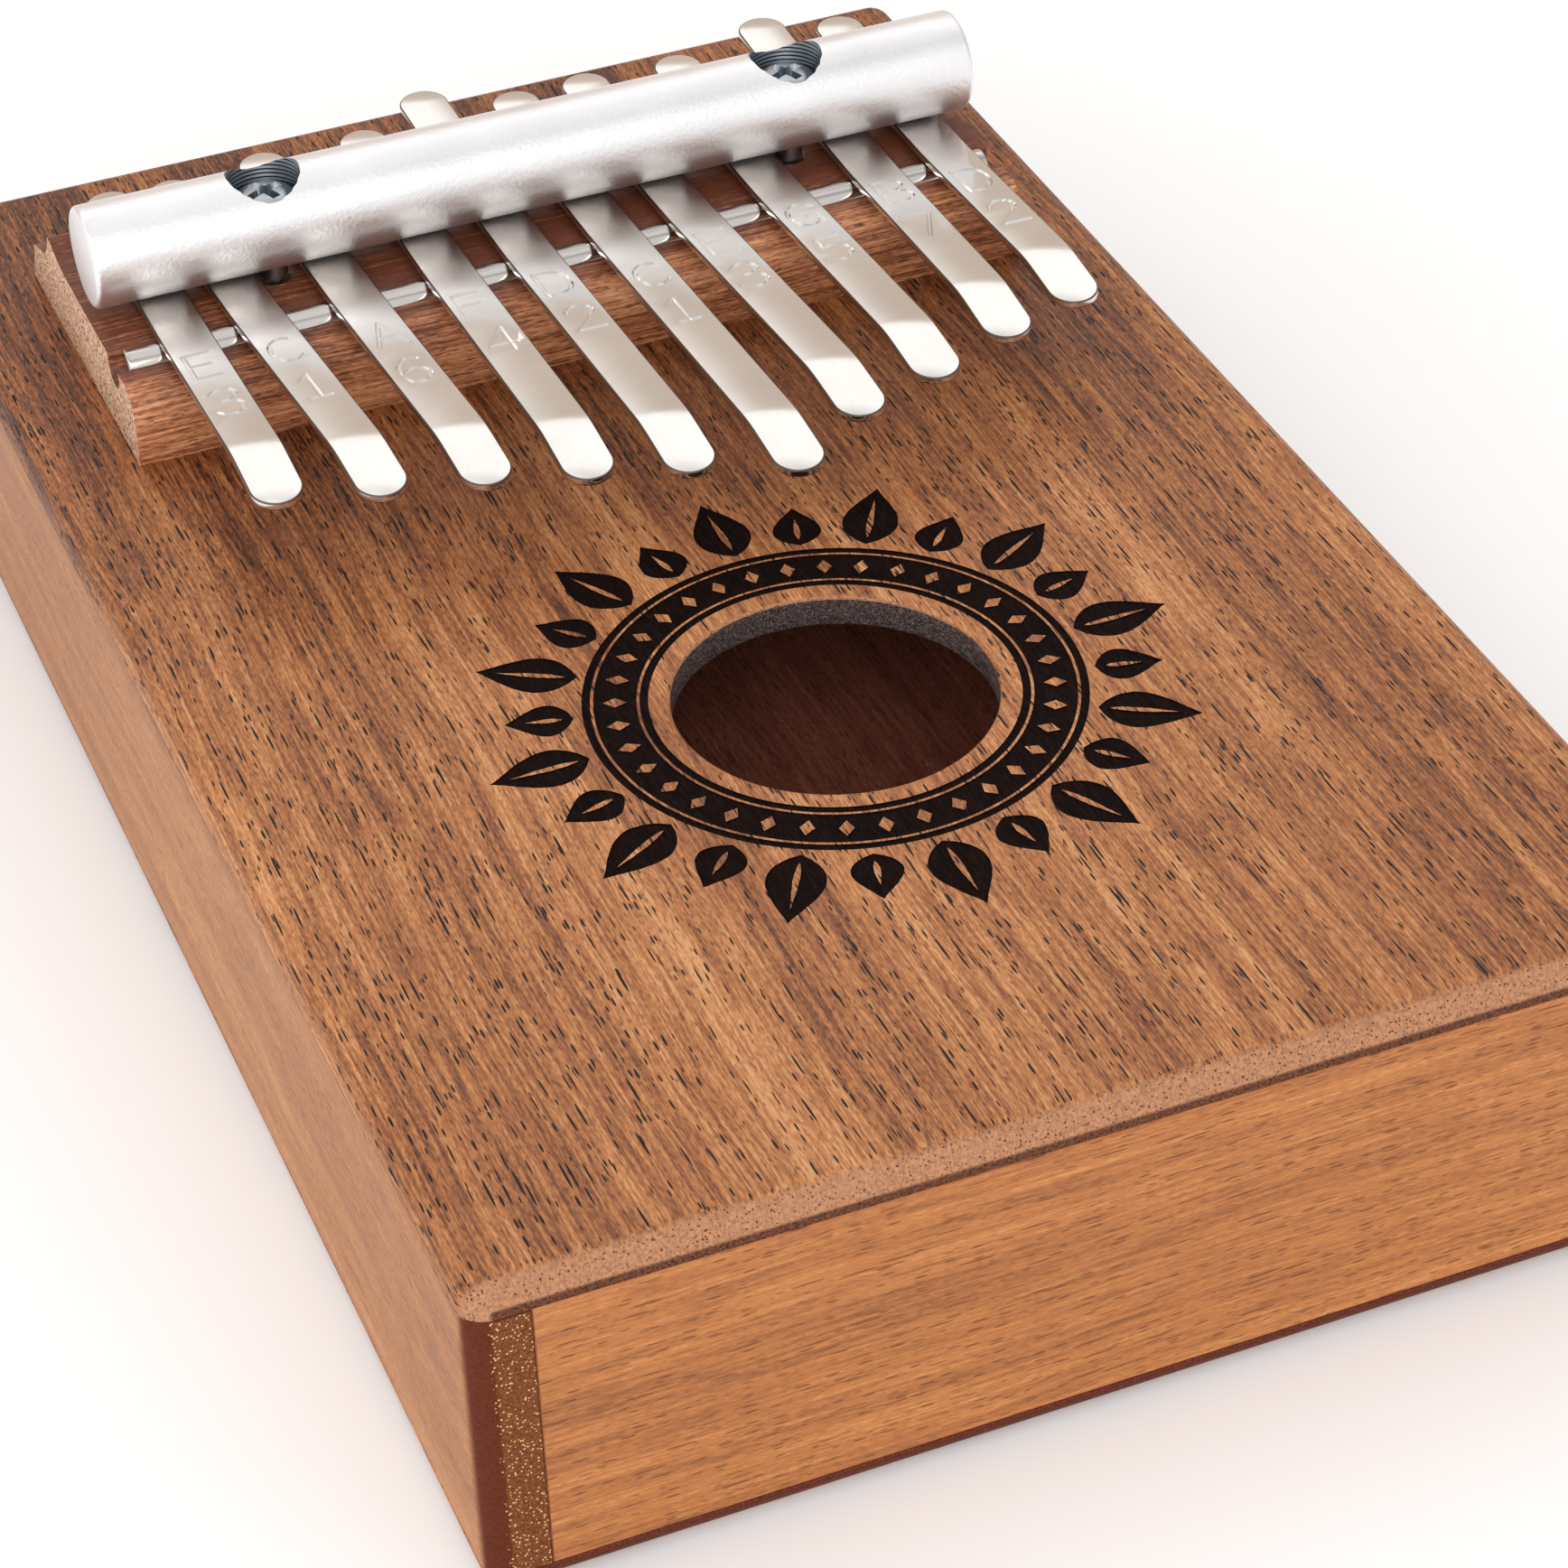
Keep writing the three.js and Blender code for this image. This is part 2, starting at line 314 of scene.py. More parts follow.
class Graph:
    """The nodes of a material or world, with short names for the ones that recur."""

    def __init__(self, owner, shader):
        owner.use_nodes = True
        self.owner = owner
        self.tree = owner.node_tree
        self.shader = self.tree.nodes[shader]
        self.place = self.node("ShaderNodeTexCoord")

    def node(self, kind, inputs=None, **settings):
        node = self.tree.nodes.new(kind)
        for name, value in settings.items():
            setattr(node, name, value)
        for socket, value in (inputs or {}).items():
            self.put(node.inputs[socket], value)
        return node

    def put(self, socket, value):
        if isinstance(value, bpy.types.NodeSocket):
            self.tree.links.new(value, socket)
        else:
            socket.default_value = value

    def set(self, **inputs):
        for name, value in inputs.items():
            self.put(self.shader.inputs[name.replace("_", " ")], value)

    def math(self, operation, a, b=0.0, c=0.0):
        return self.node("ShaderNodeMath", {0: a, 1: b, 2: c}, operation=operation).outputs[0]

    def times(self, a, b):
        return self.math("MULTIPLY", a, b)

    def times_plus(self, a, b, c):
        return self.math("MULTIPLY_ADD", a, b, c)

    def vector(self, operation, a, b, c=(0, 0, 0)):
        return self.node("ShaderNodeVectorMath", {0: a, 1: b, 2: c}, operation=operation).outputs[0]

    def span(self, value, low, high, to_low=0.0, to_high=1.0, smooth=False):
        """A value's place between low and high, kept within to_low and to_high."""
        node = self.node(
            "ShaderNodeMapRange",
            {"Value": value, "From Min": low, "From Max": high, "To Min": to_low, "To Max": to_high},
            interpolation_type="SMOOTHSTEP" if smooth else "LINEAR",
        )
        return node.outputs["Result"]

    def mix(self, factor, a, b):
        return self.node("ShaderNodeMix", {0: factor, 6: a, 7: b}, data_type="RGBA").outputs[2]

    def ramp(self, factor, stops):
        node = self.node("ShaderNodeValToRGB", {"Fac": factor})
        elements = node.color_ramp.elements
        while len(elements) < len(stops):
            elements.new(1.0)
        for element, (position, colour) in zip(elements, stops):
            element.position = position
            element.color = (*colour, 1)
        return node.outputs["Color"]

    def scaled(self, vector, per_mm):
        """A position with its three axes scaled to so many cells per millimetre."""
        scale = [value / MM for value in per_mm]
        return self.node("ShaderNodeMapping", {"Vector": vector, "Scale": scale}).outputs["Vector"]

    def noise(self, vector, per_mm, detail=2.0, rough=0.5):
        inputs = {"Vector": self.scaled(vector, per_mm), "Scale": 1.0, "Detail": detail, "Roughness": rough}
        return self.node("ShaderNodeTexNoise", inputs).outputs["Fac"]

    def cells(self, vector, per_mm):
        """Distance from the nearest cell's middle, and two random values of that cell's own."""
        node = self.node("ShaderNodeTexVoronoi", {"Vector": self.scaled(vector, per_mm), "Scale": 1.0})
        own = self.node("ShaderNodeSeparateColor", {"Color": node.outputs["Color"]}).outputs
        return node.outputs["Distance"], own[0], own[1]

    def bump(self, height, strength, distance_mm):
        inputs = {"Height": height, "Strength": strength, "Distance": distance_mm * MM}
        return self.node("ShaderNodeBump", inputs).outputs["Normal"]


def material_graph(name):
    return Graph(bpy.data.materials.new(name), "Principled BSDF")


def srgb(red, green, blue):
    """A screen colour of 0 to 255 as the linear colour that shaders use."""
    linear = []
    for value in (red, green, blue):
        value /= 255
        linear.append(value / 12.92 if value <= 0.04045 else ((value + 0.055) / 1.055) ** 2.4)
    return tuple(linear)


def along_grain(grain, across, along):
    return [along if axis == grain else across for axis in "XYZ"]


# How far a wood's grain wanders sideways, in metres, and how much each layer of its grain counts in
# its tone, from the broadest to the finest.
GRAIN_SWAY = 0.004
BROAD_SHARE, STREAK_SHARE, FIBRE_SHARE, FLECK_SHARE = 0.24, 0.22, 0.36, 0.18

# Pore dashes, small ones first: cells per millimetre across and along the grain, the least width in
# cells, and how rare they are.
PORE_DASHES = ((3.7, 0.8, 0.2, 0.48), (2.2, 0.34, 0.17, 0.5), (1.9, 0.13, 0.13, 0.4))
SMALL_PORE_SHADE = 0.62
TURN_SHADE = 0.8


def wood(
    name,
    grain,
    tones,
    pore_colour=(40, 20, 12),
    pores=0.8,
    cracks=0.5,
    end_tones=((120, 70, 45), (150, 95, 62)),
    dots=(60, 30, 20),
    dot_amount=0.6,
    dot_scale=2.1,
    turn=(95, 50, 32),
    turn_amount=0.0,
    dots_on_turn=True,
    end_from=0.35,
    tone_and_shade_along_y=None,
    figure=0.055,
    seed=0.0,
    rough=0.46,
):
    """Oiled wood with its grain along one axis. Faces across the grain show end grain with dots, and
    a turn is the colour of its rounded stretches; a pale turn paints a highlight along a rounded
    edge. Tones are the long grain's colours from dark to light, and the darkening from one Y to
    another paints shade cast by the parts above, in places together with the wood's own darker tone."""
    g = material_graph(name)
    where = g.place.outputs["Object"]
    start = g.vector("ADD", where, (seed, seed * 0.7, seed * 1.3))
    wander = g.node("ShaderNodeTexNoise", {"Vector": start, "Scale": 16.0, "Detail": 1.0})
    sway = g.vector("SUBTRACT", wander.outputs["Color"], (0.5, 0.5, 0.5))
    reach = along_grain(grain, GRAIN_SWAY, 0.0)
    place = g.vector("MULTIPLY_ADD", sway, reach, start)

    broad = g.span(g.noise(place, along_grain(grain, figure, figure * 0.13), 2, 0.5), 0.34, 0.66)
    streak = g.span(g.noise(place, along_grain(grain, figure * 8, 0.008), 3, 0.6), 0.34, 0.66)
    fibre = g.span(g.noise(place, along_grain(grain, 2.8, 0.08), 2, 0.6), 0.34, 0.66)
    fleck = g.span(g.noise(place, along_grain(grain, 4.0, 0.9), 1, 0.5), 0.36, 0.64)
    tone = g.times(broad, BROAD_SHARE)
    tone = g.times_plus(streak, STREAK_SHARE, tone)
    tone = g.times_plus(fibre, FIBRE_SHARE, tone)
    tone = g.times_plus(fleck, FLECK_SHARE, tone)
    # Darkening from one Y to another: painted shade under the bar, rod and tines, which on the soundboard is
    # partly the wood's own darker tone too.
    if tone_and_shade_along_y:
        spot = g.node("ShaderNodeSeparateXYZ", {"Vector": where})
        shade = g.span(spot.outputs["Y"], tone_and_shade_along_y[0] * MM, tone_and_shade_along_y[1] * MM, 0, tone_and_shade_along_y[2], smooth=True)
        tone = g.math("SUBTRACT", tone, shade)
    spread = 1 / (len(tones) - 1)
    stops = [(0.14 + 0.72 * i * spread, srgb(*colour)) for i, colour in enumerate(tones)]
    colour = g.ramp(tone, stops)

    crowd = g.noise(place, along_grain(grain, 0.34, 0.03), 2, 0.6)
    crowd = g.times_plus(crowd, 1.3, -0.65)
    dashes = []
    for across, along, thin, share in PORE_DASHES:
        near, chance, size = g.cells(place, along_grain(grain, across, along))
        width = g.times_plus(size, 0.16, thin)
        dash = g.span(g.math("SUBTRACT", 1.0, g.math("DIVIDE", near, width)), 0.0, 0.15)
        dashes.append(g.times(dash, g.span(g.math("ADD", chance, crowd), share, share + 0.04)))
    small = g.times(dashes[0], pores)
    large = g.times(g.math("MAXIMUM", dashes[1], dashes[2]), cracks)
    colour = g.mix(small, colour, (*srgb(*[c * SMALL_PORE_SHADE for c in tones[0]]), 1))
    colour = g.mix(large, colour, (*srgb(*pore_colour), 1))
    pore = g.math("MAXIMUM", small, large)

    near, chance, size = g.cells(start, (dot_scale, dot_scale, dot_scale))
    dot = g.span(g.math("DIVIDE", near, g.times_plus(size, 0.16, 0.2)), 1.1, 0.7)
    dot = g.times(dot, g.span(chance, 0.2, 0.3, 0, dot_amount))
    mottle = g.noise(start, (3.0, 3.0, 3.0), 2, 0.7)
    end = g.ramp(mottle, [(0.38, srgb(*end_tones[0])), (0.62, srgb(*end_tones[1]))])
    hatch = g.noise(start, along_grain(grain, 3.2, 0.9), 2, 0.7)
    facing = g.node("ShaderNodeSeparateXYZ", {"Vector": g.place.outputs["Normal"]})
    across = g.math("ABSOLUTE", facing.outputs[grain])
    # The turn colour covers rounded stretches. On the soundboard its pale colour is a painted highlight
    # along the rounded edges, while its hatch and dots are the end grain.
    if turn_amount:
        turned_part = g.span(across, 0.997, 0.983, 0.0, turn_amount)
        darker = [c * TURN_SHADE for c in turn]
        rounded = g.ramp(hatch, [(0.36, srgb(*darker)), (0.62, srgb(*turn))])
        end = g.mix(turned_part, end, rounded)
        if not dots_on_turn:
            dot = g.times(dot, g.math("SUBTRACT", 1.0, g.span(across, 0.985, 0.96)))
    end = g.mix(dot, end, (*srgb(*dots), 1))
    is_end = g.span(across, end_from, end_from + 0.4, smooth=True)
    colour = g.mix(is_end, colour, end)

    height = g.times_plus(fibre, 0.22, g.times(fleck, 0.12))
    height = g.math("SUBTRACT", height, pore)
    height = g.times(height, g.math("SUBTRACT", 1.0, is_end))
    height = g.math("SUBTRACT", height, g.times(dot, g.times(is_end, 0.5)))
    gloss = g.times_plus(fibre, 0.12, rough)
    gloss = g.times_plus(pore, 0.25, gloss)
    g.set(Base_Color=colour, Roughness=gloss, Normal=g.bump(height, 0.55, 0.09))
    g.set(Specular_IOR_Level=g.span(is_end, 0, 1, 0.42, 0.1))
    return g.owner


def burnt_wood(name, dark, light, rough=0.85, gloss_level=0.08):
    """Charred wood: near black, grainy, with paler fibres that the burning missed."""
    g = material_graph(name)
    place = g.place.outputs["Object"]
    grain = g.noise(place, (3.5, 0.5, 3.5), 3, 0.7)
    speckle = g.noise(place, (7.0, 5.0, 7.0), 2, 0.6)
    tone = g.times_plus(speckle, 0.55, g.times(grain, 0.45))
    colour = g.ramp(tone, [(0.46, srgb(*dark)), (0.7, srgb(*light))])
    gloss = g.span(speckle, 0.3, 0.7, rough - 0.12, rough)
    g.set(Base_Color=colour, Roughness=gloss, Normal=g.bump(tone, 0.7, 0.08))
    g.set(Specular_IOR_Level=gloss_level)
    return g.owner


def metal(name, colour, rough, grain, strength, depth, vary):
    """Bare metal with a fine surface grain, and slow changes in its tint and gloss."""
    g = material_graph(name)
    place = g.place.outputs["Object"]
    fine = g.noise(place, grain, 2, 0.6)
    slow = g.noise(place, (0.09, 0.09, 0.09), 3, 0.55)
    bright = (*srgb(*colour), 1)
    shade = (*[c * (1 - vary * 2) for c in srgb(*colour)], 1)
    tint = g.mix(g.span(slow, 0.3, 0.7), shade, bright)
    tint = g.mix(g.span(fine, 0.35, 0.65, 0.0, 0.12), tint, (*[c * 0.8 for c in srgb(*colour)], 1))
    gloss = g.times_plus(fine, vary, rough - vary / 2)
    gloss = g.times_plus(slow, vary, gloss)
    g.set(Base_Color=tint, Metallic=1.0, Roughness=gloss, Normal=g.bump(fine, strength, depth))
    return g.owner


TOP_TONES = ((75, 35, 16), (135, 77, 39), (176, 113, 64), (206, 149, 100))
# Soundboard: the pale turn colour is a painted highlight on its rounded front and rear edges. Its darkening
# towards the bridge is partly the board's own tone and partly painted shade of the tines and bar.
TOP_WOOD = wood(
    "soundboard_wood", "Y", TOP_TONES, pores=0.42, cracks=1.0, pore_colour=(16, 8, 6),
    end_tones=((70, 38, 26), (116, 72, 50)), dots=(40, 18, 12), dot_amount=0.8, dot_scale=2.6,
    turn=(196, 140, 104), turn_amount=0.9, end_from=0.2, tone_and_shade_along_y=(-20, 70, 0.17),
)
BACK_WOOD = wood(
    "back_panel_wood", "Y", TOP_TONES, end_tones=((74, 28, 16), (124, 60, 36)), dots=(40, 14, 10),
    seed=0.4, turn=(96, 40, 24), turn_amount=0.6,
)
SIDE_WOOD = wood(
    "side_wood", "Y", ((136, 81, 43), (161, 102, 58), (181, 121, 72), (201, 144, 94)), pores=0.2,
    cracks=0.4, pore_colour=(110, 60, 36), end_tones=((90, 46, 23), (132, 78, 42)),
    dots=(236, 188, 126), dot_amount=0.95, dot_scale=2.5, turn=(98, 38, 18), turn_amount=0.9,
    dots_on_turn=False, end_from=0.12, figure=0.04, seed=0.8,
)
END_WOOD = wood(
    "end_wood", "X", ((139, 82, 38), (169, 102, 51), (187, 119, 62), (208, 145, 89)), pores=0.3,
    cracks=0.62, pore_colour=(92, 46, 22), figure=0.06, seed=1.3,
)
# The bridge board darkens from just in front of the rod backwards: painted shade of the rod and pressure
# bar.
BOARD_WOOD = wood(
    "bridge_board_wood", "X", ((100, 50, 30), (154, 92, 58), (202, 138, 96), (232, 174, 130)),
    pores=0.55, cracks=0.6, end_tones=((150, 102, 76), (240, 205, 175)), dots=(66, 32, 22),
    dot_amount=1.0, dot_scale=1.6, tone_and_shade_along_y=(ROD_MID.y - 6, ROD_MID.y, 0.42), figure=0.16, seed=2.1,
)
BRACE_WOOD = wood(
    "brace_wood", "X", ((150, 112, 74), (176, 138, 94), (198, 160, 114), (212, 178, 134)),
    pores=0.3, cracks=0.2, seed=3.3,
)
INSIDE_WOOD = wood(
    "inside_wood", "Y", ((118, 62, 46), (148, 82, 62), (170, 98, 76), (194, 118, 92)), pores=0.5,
    cracks=0.5, seed=4.2, rough=0.7,
)
ROSETTE_BURN = burnt_wood("rosette_burn", (9, 5, 5), (46, 26, 20), 0.85, 0.05)
HOLE_BURN = burnt_wood("hole_edge_burn", (44, 34, 34), (150, 128, 122), 0.9, 0.2)
BAR_METAL = metal("satin_aluminium", (247, 245, 246), 0.38, (1.9, 1.9, 1.9), 1.0, 0.05, 0.04)
# Darker, bluer aluminium for the counterbores: painted shade inside the recesses.
BORE_SHADE_METAL = metal("counterbore_aluminium_shaded", (140, 147, 154), 0.3, (2.0, 2.0, 2.0), 0.3, 0.04, 0.1)
TINE_METAL = metal("nickel_tine_steel", (230, 225, 220), 0.14, (2.2, 0.25, 2.2), 0.05, 0.01, 0.04)
# Dark steel for the tines' eased edges: a painted dark reflection and shade that outlines each tine.
TINE_EDGE_SHADE_METAL = metal("tine_edge_painted_shade", (104, 94, 86), 0.34, (4.0, 4.0, 0.6), 0.3, 0.02, 0.08)
ROD_METAL = metal("polished_rod_steel", (206, 199, 194), 0.11, (0.4, 3.0, 3.0), 0.06, 0.01, 0.05)
SCREW_METAL = metal("zinc_screw_steel", (176, 182, 188), 0.24, (2.5, 2.5, 2.5), 0.12, 0.02, 0.08)


def finish_piece(piece, materials, slot, *nodes):
    """Gives a piece its materials, lets it ride on the box, and hides the CAD nodes that it stands for."""
    slots = piece.data.materials
    for i, material in enumerate(materials):
        if i < len(slots):
            slots[i] = material
        else:
            slots.append(material)
    if "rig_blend" not in piece:
        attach(piece, "root")
    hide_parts(*nodes)
    return piece


# ---------------------------------------------------------------- the rosette

LEAVES = 24
LEAF_BASE = 27.5
LONG_LEAF = (38.4, 3.1)
SHORT_LEAF = (34.8, 2.7)
LEAF_STEPS = 16
VEIN_HALF = 0.34
VEIN_FROM_BASE = 1.2
VEIN_FROM_TIP = 2.2
BAND_INNER = 19.6
BAND_OUTER = 26.6
BORDER = 0.9
LINE = 0.32
DIAMONDS = 36
DIAMOND_REACH = 1.25
DIAMOND_HALF = 0.8
BURN_WAVER = 0.035


def leaf(base, tip, widest):
    """A closed lance shape along +X, widest nearer its base."""
    shares = [i / LEAF_STEPS for i in range(LEAF_STEPS + 1)]
    upper = [
        (base + (tip - base) * t, widest * max(math.sin(math.pi * t**0.72), 0.0) ** 1.1)
        for t in shares
    ]
    lower = [(x, -y) for x, y in upper[1:-1]]
    return upper + lower[::-1]


def rosette_marks():
    """The rosette's outlines in painting order, each with whether it is burnt. It is a plain sun:
    long and short leaves with a bare vein, round a dark band with a bare line along each edge and a
    row of bare diamonds."""
    rings = (
        (BAND_OUTER, True),
        (BAND_OUTER - BORDER, False),
        (BAND_OUTER - BORDER - LINE, True),
        (BAND_INNER + BORDER + LINE, False),
        (BAND_INNER + BORDER, True),
        (BAND_INNER, False),
    )
    marks = [(circle(0, HOLE_Y, radius, HOLE_COUNT), is_burnt) for radius, is_burnt in rings]
    waver = random.Random(5)

    def paint(outline, turn, is_burnt):
        moved = []
        for x, y in outline:
            x += waver.uniform(-BURN_WAVER, BURN_WAVER)
            y += waver.uniform(-BURN_WAVER, BURN_WAVER)
            moved.append((
                x * math.cos(turn) - y * math.sin(turn),
                HOLE_Y + x * math.sin(turn) + y * math.cos(turn),
            ))
        marks.append((moved, is_burnt))

    middle = (BAND_INNER + BAND_OUTER) / 2
    diamond = [(middle - DIAMOND_REACH, 0), (middle, -DIAMOND_HALF)]
    diamond += [(middle + DIAMOND_REACH, 0), (middle, DIAMOND_HALF)]
    for i in range(DIAMONDS):
        paint(diamond, TAU * i / DIAMONDS, False)
    for i in range(LEAVES):
        turn = TAU * i / LEAVES
        tip, widest = SHORT_LEAF if i % 2 else LONG_LEAF
        paint(leaf(LEAF_BASE, tip, widest), turn, True)
        paint(leaf(LEAF_BASE + VEIN_FROM_BASE, tip - VEIN_FROM_TIP, VEIN_HALF), turn, False)
    return marks


# ---------------------------------------------------------------- the sound box

JOINT_BEVEL = 0.13
CORNER_STEPS = 12
BURN_DEPTH = 0.14
HOLE_EASE = 0.35
HOLE_COUNT = 120
EDGE_STEPS = 14
ROUNDING_END = 87.0
TINY = 0.02


def box_ring(corner_radius, z):
    """The rounded box's outline at a height, given what is left of its corner radius there."""
    centre_x = TOP_HIGH.x - EDGE
    centre_y = TOP_HIGH.y - EDGE
    points = []
    for quarter, (sx, sy) in enumerate(((1, 1), (-1, 1), (-1, -1), (1, -1))):
        for x, y in arc(corner_radius, 90 * quarter, 90 * quarter + 90, CORNER_STEPS):
            points.append((sx * centre_x + x, sy * centre_y + y, z))
    return points


def rounding():
    """Corner radius and rise at each step of the box's edge rounding."""
    steps = [math.radians(ROUNDING_END * i / EDGE_STEPS) for i in range(EDGE_STEPS + 1)]
    return [(EDGE * math.cos(a), EDGE * math.sin(a)) for a in steps]


def screw_circles():
    return [circle(x, BAR_MID.y, SCREW_HOLE_RADIUS, 24) for x in SCREW_PLACES.values()]


def top_plate():
    shape = Shape()
    low_z = TOP_LOW.z
    bend_z = SOUNDBOARD - EDGE
    rings = [box_ring(EDGE - JOINT_BEVEL, low_z), box_ring(EDGE, low_z + JOINT_BEVEL)]
    rings += [box_ring(radius, bend_z + rise) for radius, rise in rounding()]
    rings.append(box_ring(TINY, SOUNDBOARD))
    shape.loft(rings)

    outline = [(x, y) for x, y, _ in rings[-1]]
    wide = circle(0, HOLE_Y, HOLE_RADIUS + HOLE_EASE, HOLE_COUNT)
    marks = rosette_marks()
    points, triangles = filled(outline, [wide, *screw_circles()], [m for m, _ in marks])

    def is_burnt(mark):
        return mark >= 0 and marks[mark][1]

    relief(
        shape,
        points,
        triangles,
        lambda x, y: SOUNDBOARD,
        lambda mark: BURN_DEPTH if is_burnt(mark) else 0.0,
        lambda mark: 1 if is_burnt(mark) else 0,
    )
    under = [(x, y) for x, y, _ in rings[0]]
    points, triangles = filled(under, [wide, *screw_circles()])
    relief(shape, points, triangles, lambda x, y: low_z, lambda mark: 0.0, lambda mark: 3)

    eased = [(HOLE_RADIUS + inset, drop) for inset, drop in easing(HOLE_EASE)]
    upper = [at_height(circle(0, HOLE_Y, radius, HOLE_COUNT), SOUNDBOARD - drop) for radius, drop in eased]
    lower = [at_height(circle(0, HOLE_Y, radius, HOLE_COUNT), low_z + drop) for radius, drop in eased[::-1]]
    shape.loft(upper, 0)
    shape.loft([upper[-1], *lower], 2)
    for ring in screw_circles():
        shape.loft([at_height(ring, SOUNDBOARD), at_height(ring, low_z)], 3)
    piece = shape.piece("top_plate_wood", 32)
    finish_piece(piece, [TOP_WOOD, ROSETTE_BURN, HOLE_BURN, INSIDE_WOOD], "plate_wood", "top_plate")


def back_plate():
    shape = Shape()
    high_z = BACK_HIGH.z
    rings = [box_ring(TINY, 0)]
    rings += [box_ring(radius, EDGE - rise) for radius, rise in rounding()[::-1]]
    rings[-1] = box_ring(EDGE, high_z - JOINT_BEVEL)
    rings.append(box_ring(EDGE - JOINT_BEVEL, high_z))
    low, high = shape.loft(rings)
    shape.face(low, 0)
    shape.face(high, 1)
    piece = shape.piece("back_plate_wood", 32)
    finish_piece(piece, [BACK_WOOD, INSIDE_WOOD], "plate_wood", "back_plate")


def pulled_in(outline, distance):
    """A convex outline, anticlockwise, moved inwards."""
    count = len(outline)
    moved = []
    for i, here in enumerate(outline):
        before = (Vector(here) - Vector(outline[i - 1])).normalized()
        after = (Vector(outline[(i + 1) % count]) - Vector(here)).normalized()
        inward = Vector((-before.y, before.x)) + Vector((-after.y, after.x))
        inward *= distance / max(inward.length_squared / 2, 0.2)
        moved.append((here[0] + inward.x, here[1] + inward.y))
    return moved


def panel(name, outline, low_z, high_z, material, slot, node):
    """An upright panel with a plan outline. The faces that look into the box get the darker inside wood."""
    shape = Shape()
    narrow = pulled_in(outline, JOINT_BEVEL)
    rings = [
        at_height(narrow, low_z),
        at_height(outline, low_z + JOINT_BEVEL),
        at_height(outline, high_z - JOINT_BEVEL),
        at_height(narrow, high_z),
    ]
    low, high = shape.loft(rings)
    shape.face(low)
    shape.face(high)
    piece = shape.piece(name, 32)
    for face in piece.data.polygons:
        outward = face.center.xy.dot(face.normal.xy) > 0
        if abs(face.normal.z) < 0.5 and not outward and face.area > 1e-5:
            face.material_index = 1
    finish_piece(piece, [material, INSIDE_WOOD], slot, node)


def eased_corners(x0, y0, x1, y1):
    """A rectangle's corners, each cut off a little, anticlockwise."""
    e = JOINT_BEVEL
    return [
        (x0 + e, y0), (x1 - e, y0), (x1, y0 + e), (x1, y1 - e),
        (x1 - e, y1), (x0 + e, y1), (x0, y1 - e), (x0, y0 + e),
    ]


def side_panels():
    for side, sign in (("left", -1), ("right", 1)):
        node = f"{side}_side"
        low, high = box_mm(node)
        inner = high.x if sign < 0 else low.x
        centre_x = sign * (TOP_HIGH.x - EDGE)
        centre_y = TOP_HIGH.y - EDGE
        points = [(inner + sign * JOINT_BEVEL, -TOP_HIGH.y)]
        points += [(centre_x + sign * x, -centre_y - y) for x, y in arc(EDGE, 90, 0, CORNER_STEPS)]
        points += [(centre_x + sign * x, centre_y + y) for x, y in arc(EDGE, 0, 90, CORNER_STEPS)]
        points += [(inner + sign * JOINT_BEVEL, TOP_HIGH.y), (inner, TOP_HIGH.y - JOINT_BEVEL)]
        points.append((inner, JOINT_BEVEL - TOP_HIGH.y))
        if sign < 0:
            points = points[::-1]
        panel(f"{side}_side_wood", points, low.z, high.z, SIDE_WOOD, "side_wood", node)


def end_panels():
    for end in ("front", "rear"):
        low, high = box_mm(f"{end}_end")
        outline = eased_corners(low.x, low.y, high.x, high.y)
        panel(f"{end}_end_wood", outline, low.z, high.z, END_WOOD, "end_wood", f"{end}_end")


# ---------------------------------------------------------------- the bridge

BOARD_EASE = 0.22
ROD_EASE = 0.3
BAR_EASE = 0.7
DRILL_LOW, DRILL_HIGH = 38, 52
BORE_RINGS = 24
RING_DEPTH = 0.1


def curve(start, control, end, count=8):
    """A quadratic curve's points after its start."""
    points = []
    for i in range(1, count + 1):
        t = i / count
        points.append(tuple(
            (1 - t) ** 2 * s + 2 * t * (1 - t) * c + t**2 * e for s, c, e in zip(start, control, end)
        ))
    return points


def board_outline():
    """The bridge board from the side, as [distance from the front, height above the soundboard]."""
    foot, rear, lip, flat, ridge, ridge_at = 142.8, 189.2, 9.3, 9.6, 11.1, 177.4
    groove, rod_at, rod_above = 2.15, 150.2, 8.55
    dip = math.degrees(math.asin((lip - rod_above) / groove))
    points = [(foot, 0), (foot - 0.25, lip * 0.3), (foot - 0.5, lip * 0.6)]
    points += curve(points[-1], (foot - 0.2, lip - 0.2), (foot + 3, lip), 12)
    points += [(rod_at + y, rod_above + z) for y, z in arc(groove, 180 - dip, 360 + dip, 22)]
    points.append((rod_at + 2.6, flat))
    points.append((ridge_at - 6.5, flat))
    points += curve(points[-1], (ridge_at - 2.6, flat + 0.2), (ridge_at - 0.6, ridge), 10)
    points.append((ridge_at + 0.6, ridge))
    points += curve(points[-1], (ridge_at + 2.4, 7), (ridge_at + 5.6, 6.7), 10)
    points += [(rear - 2.6, 5.5), (rear, 0)]
    return points


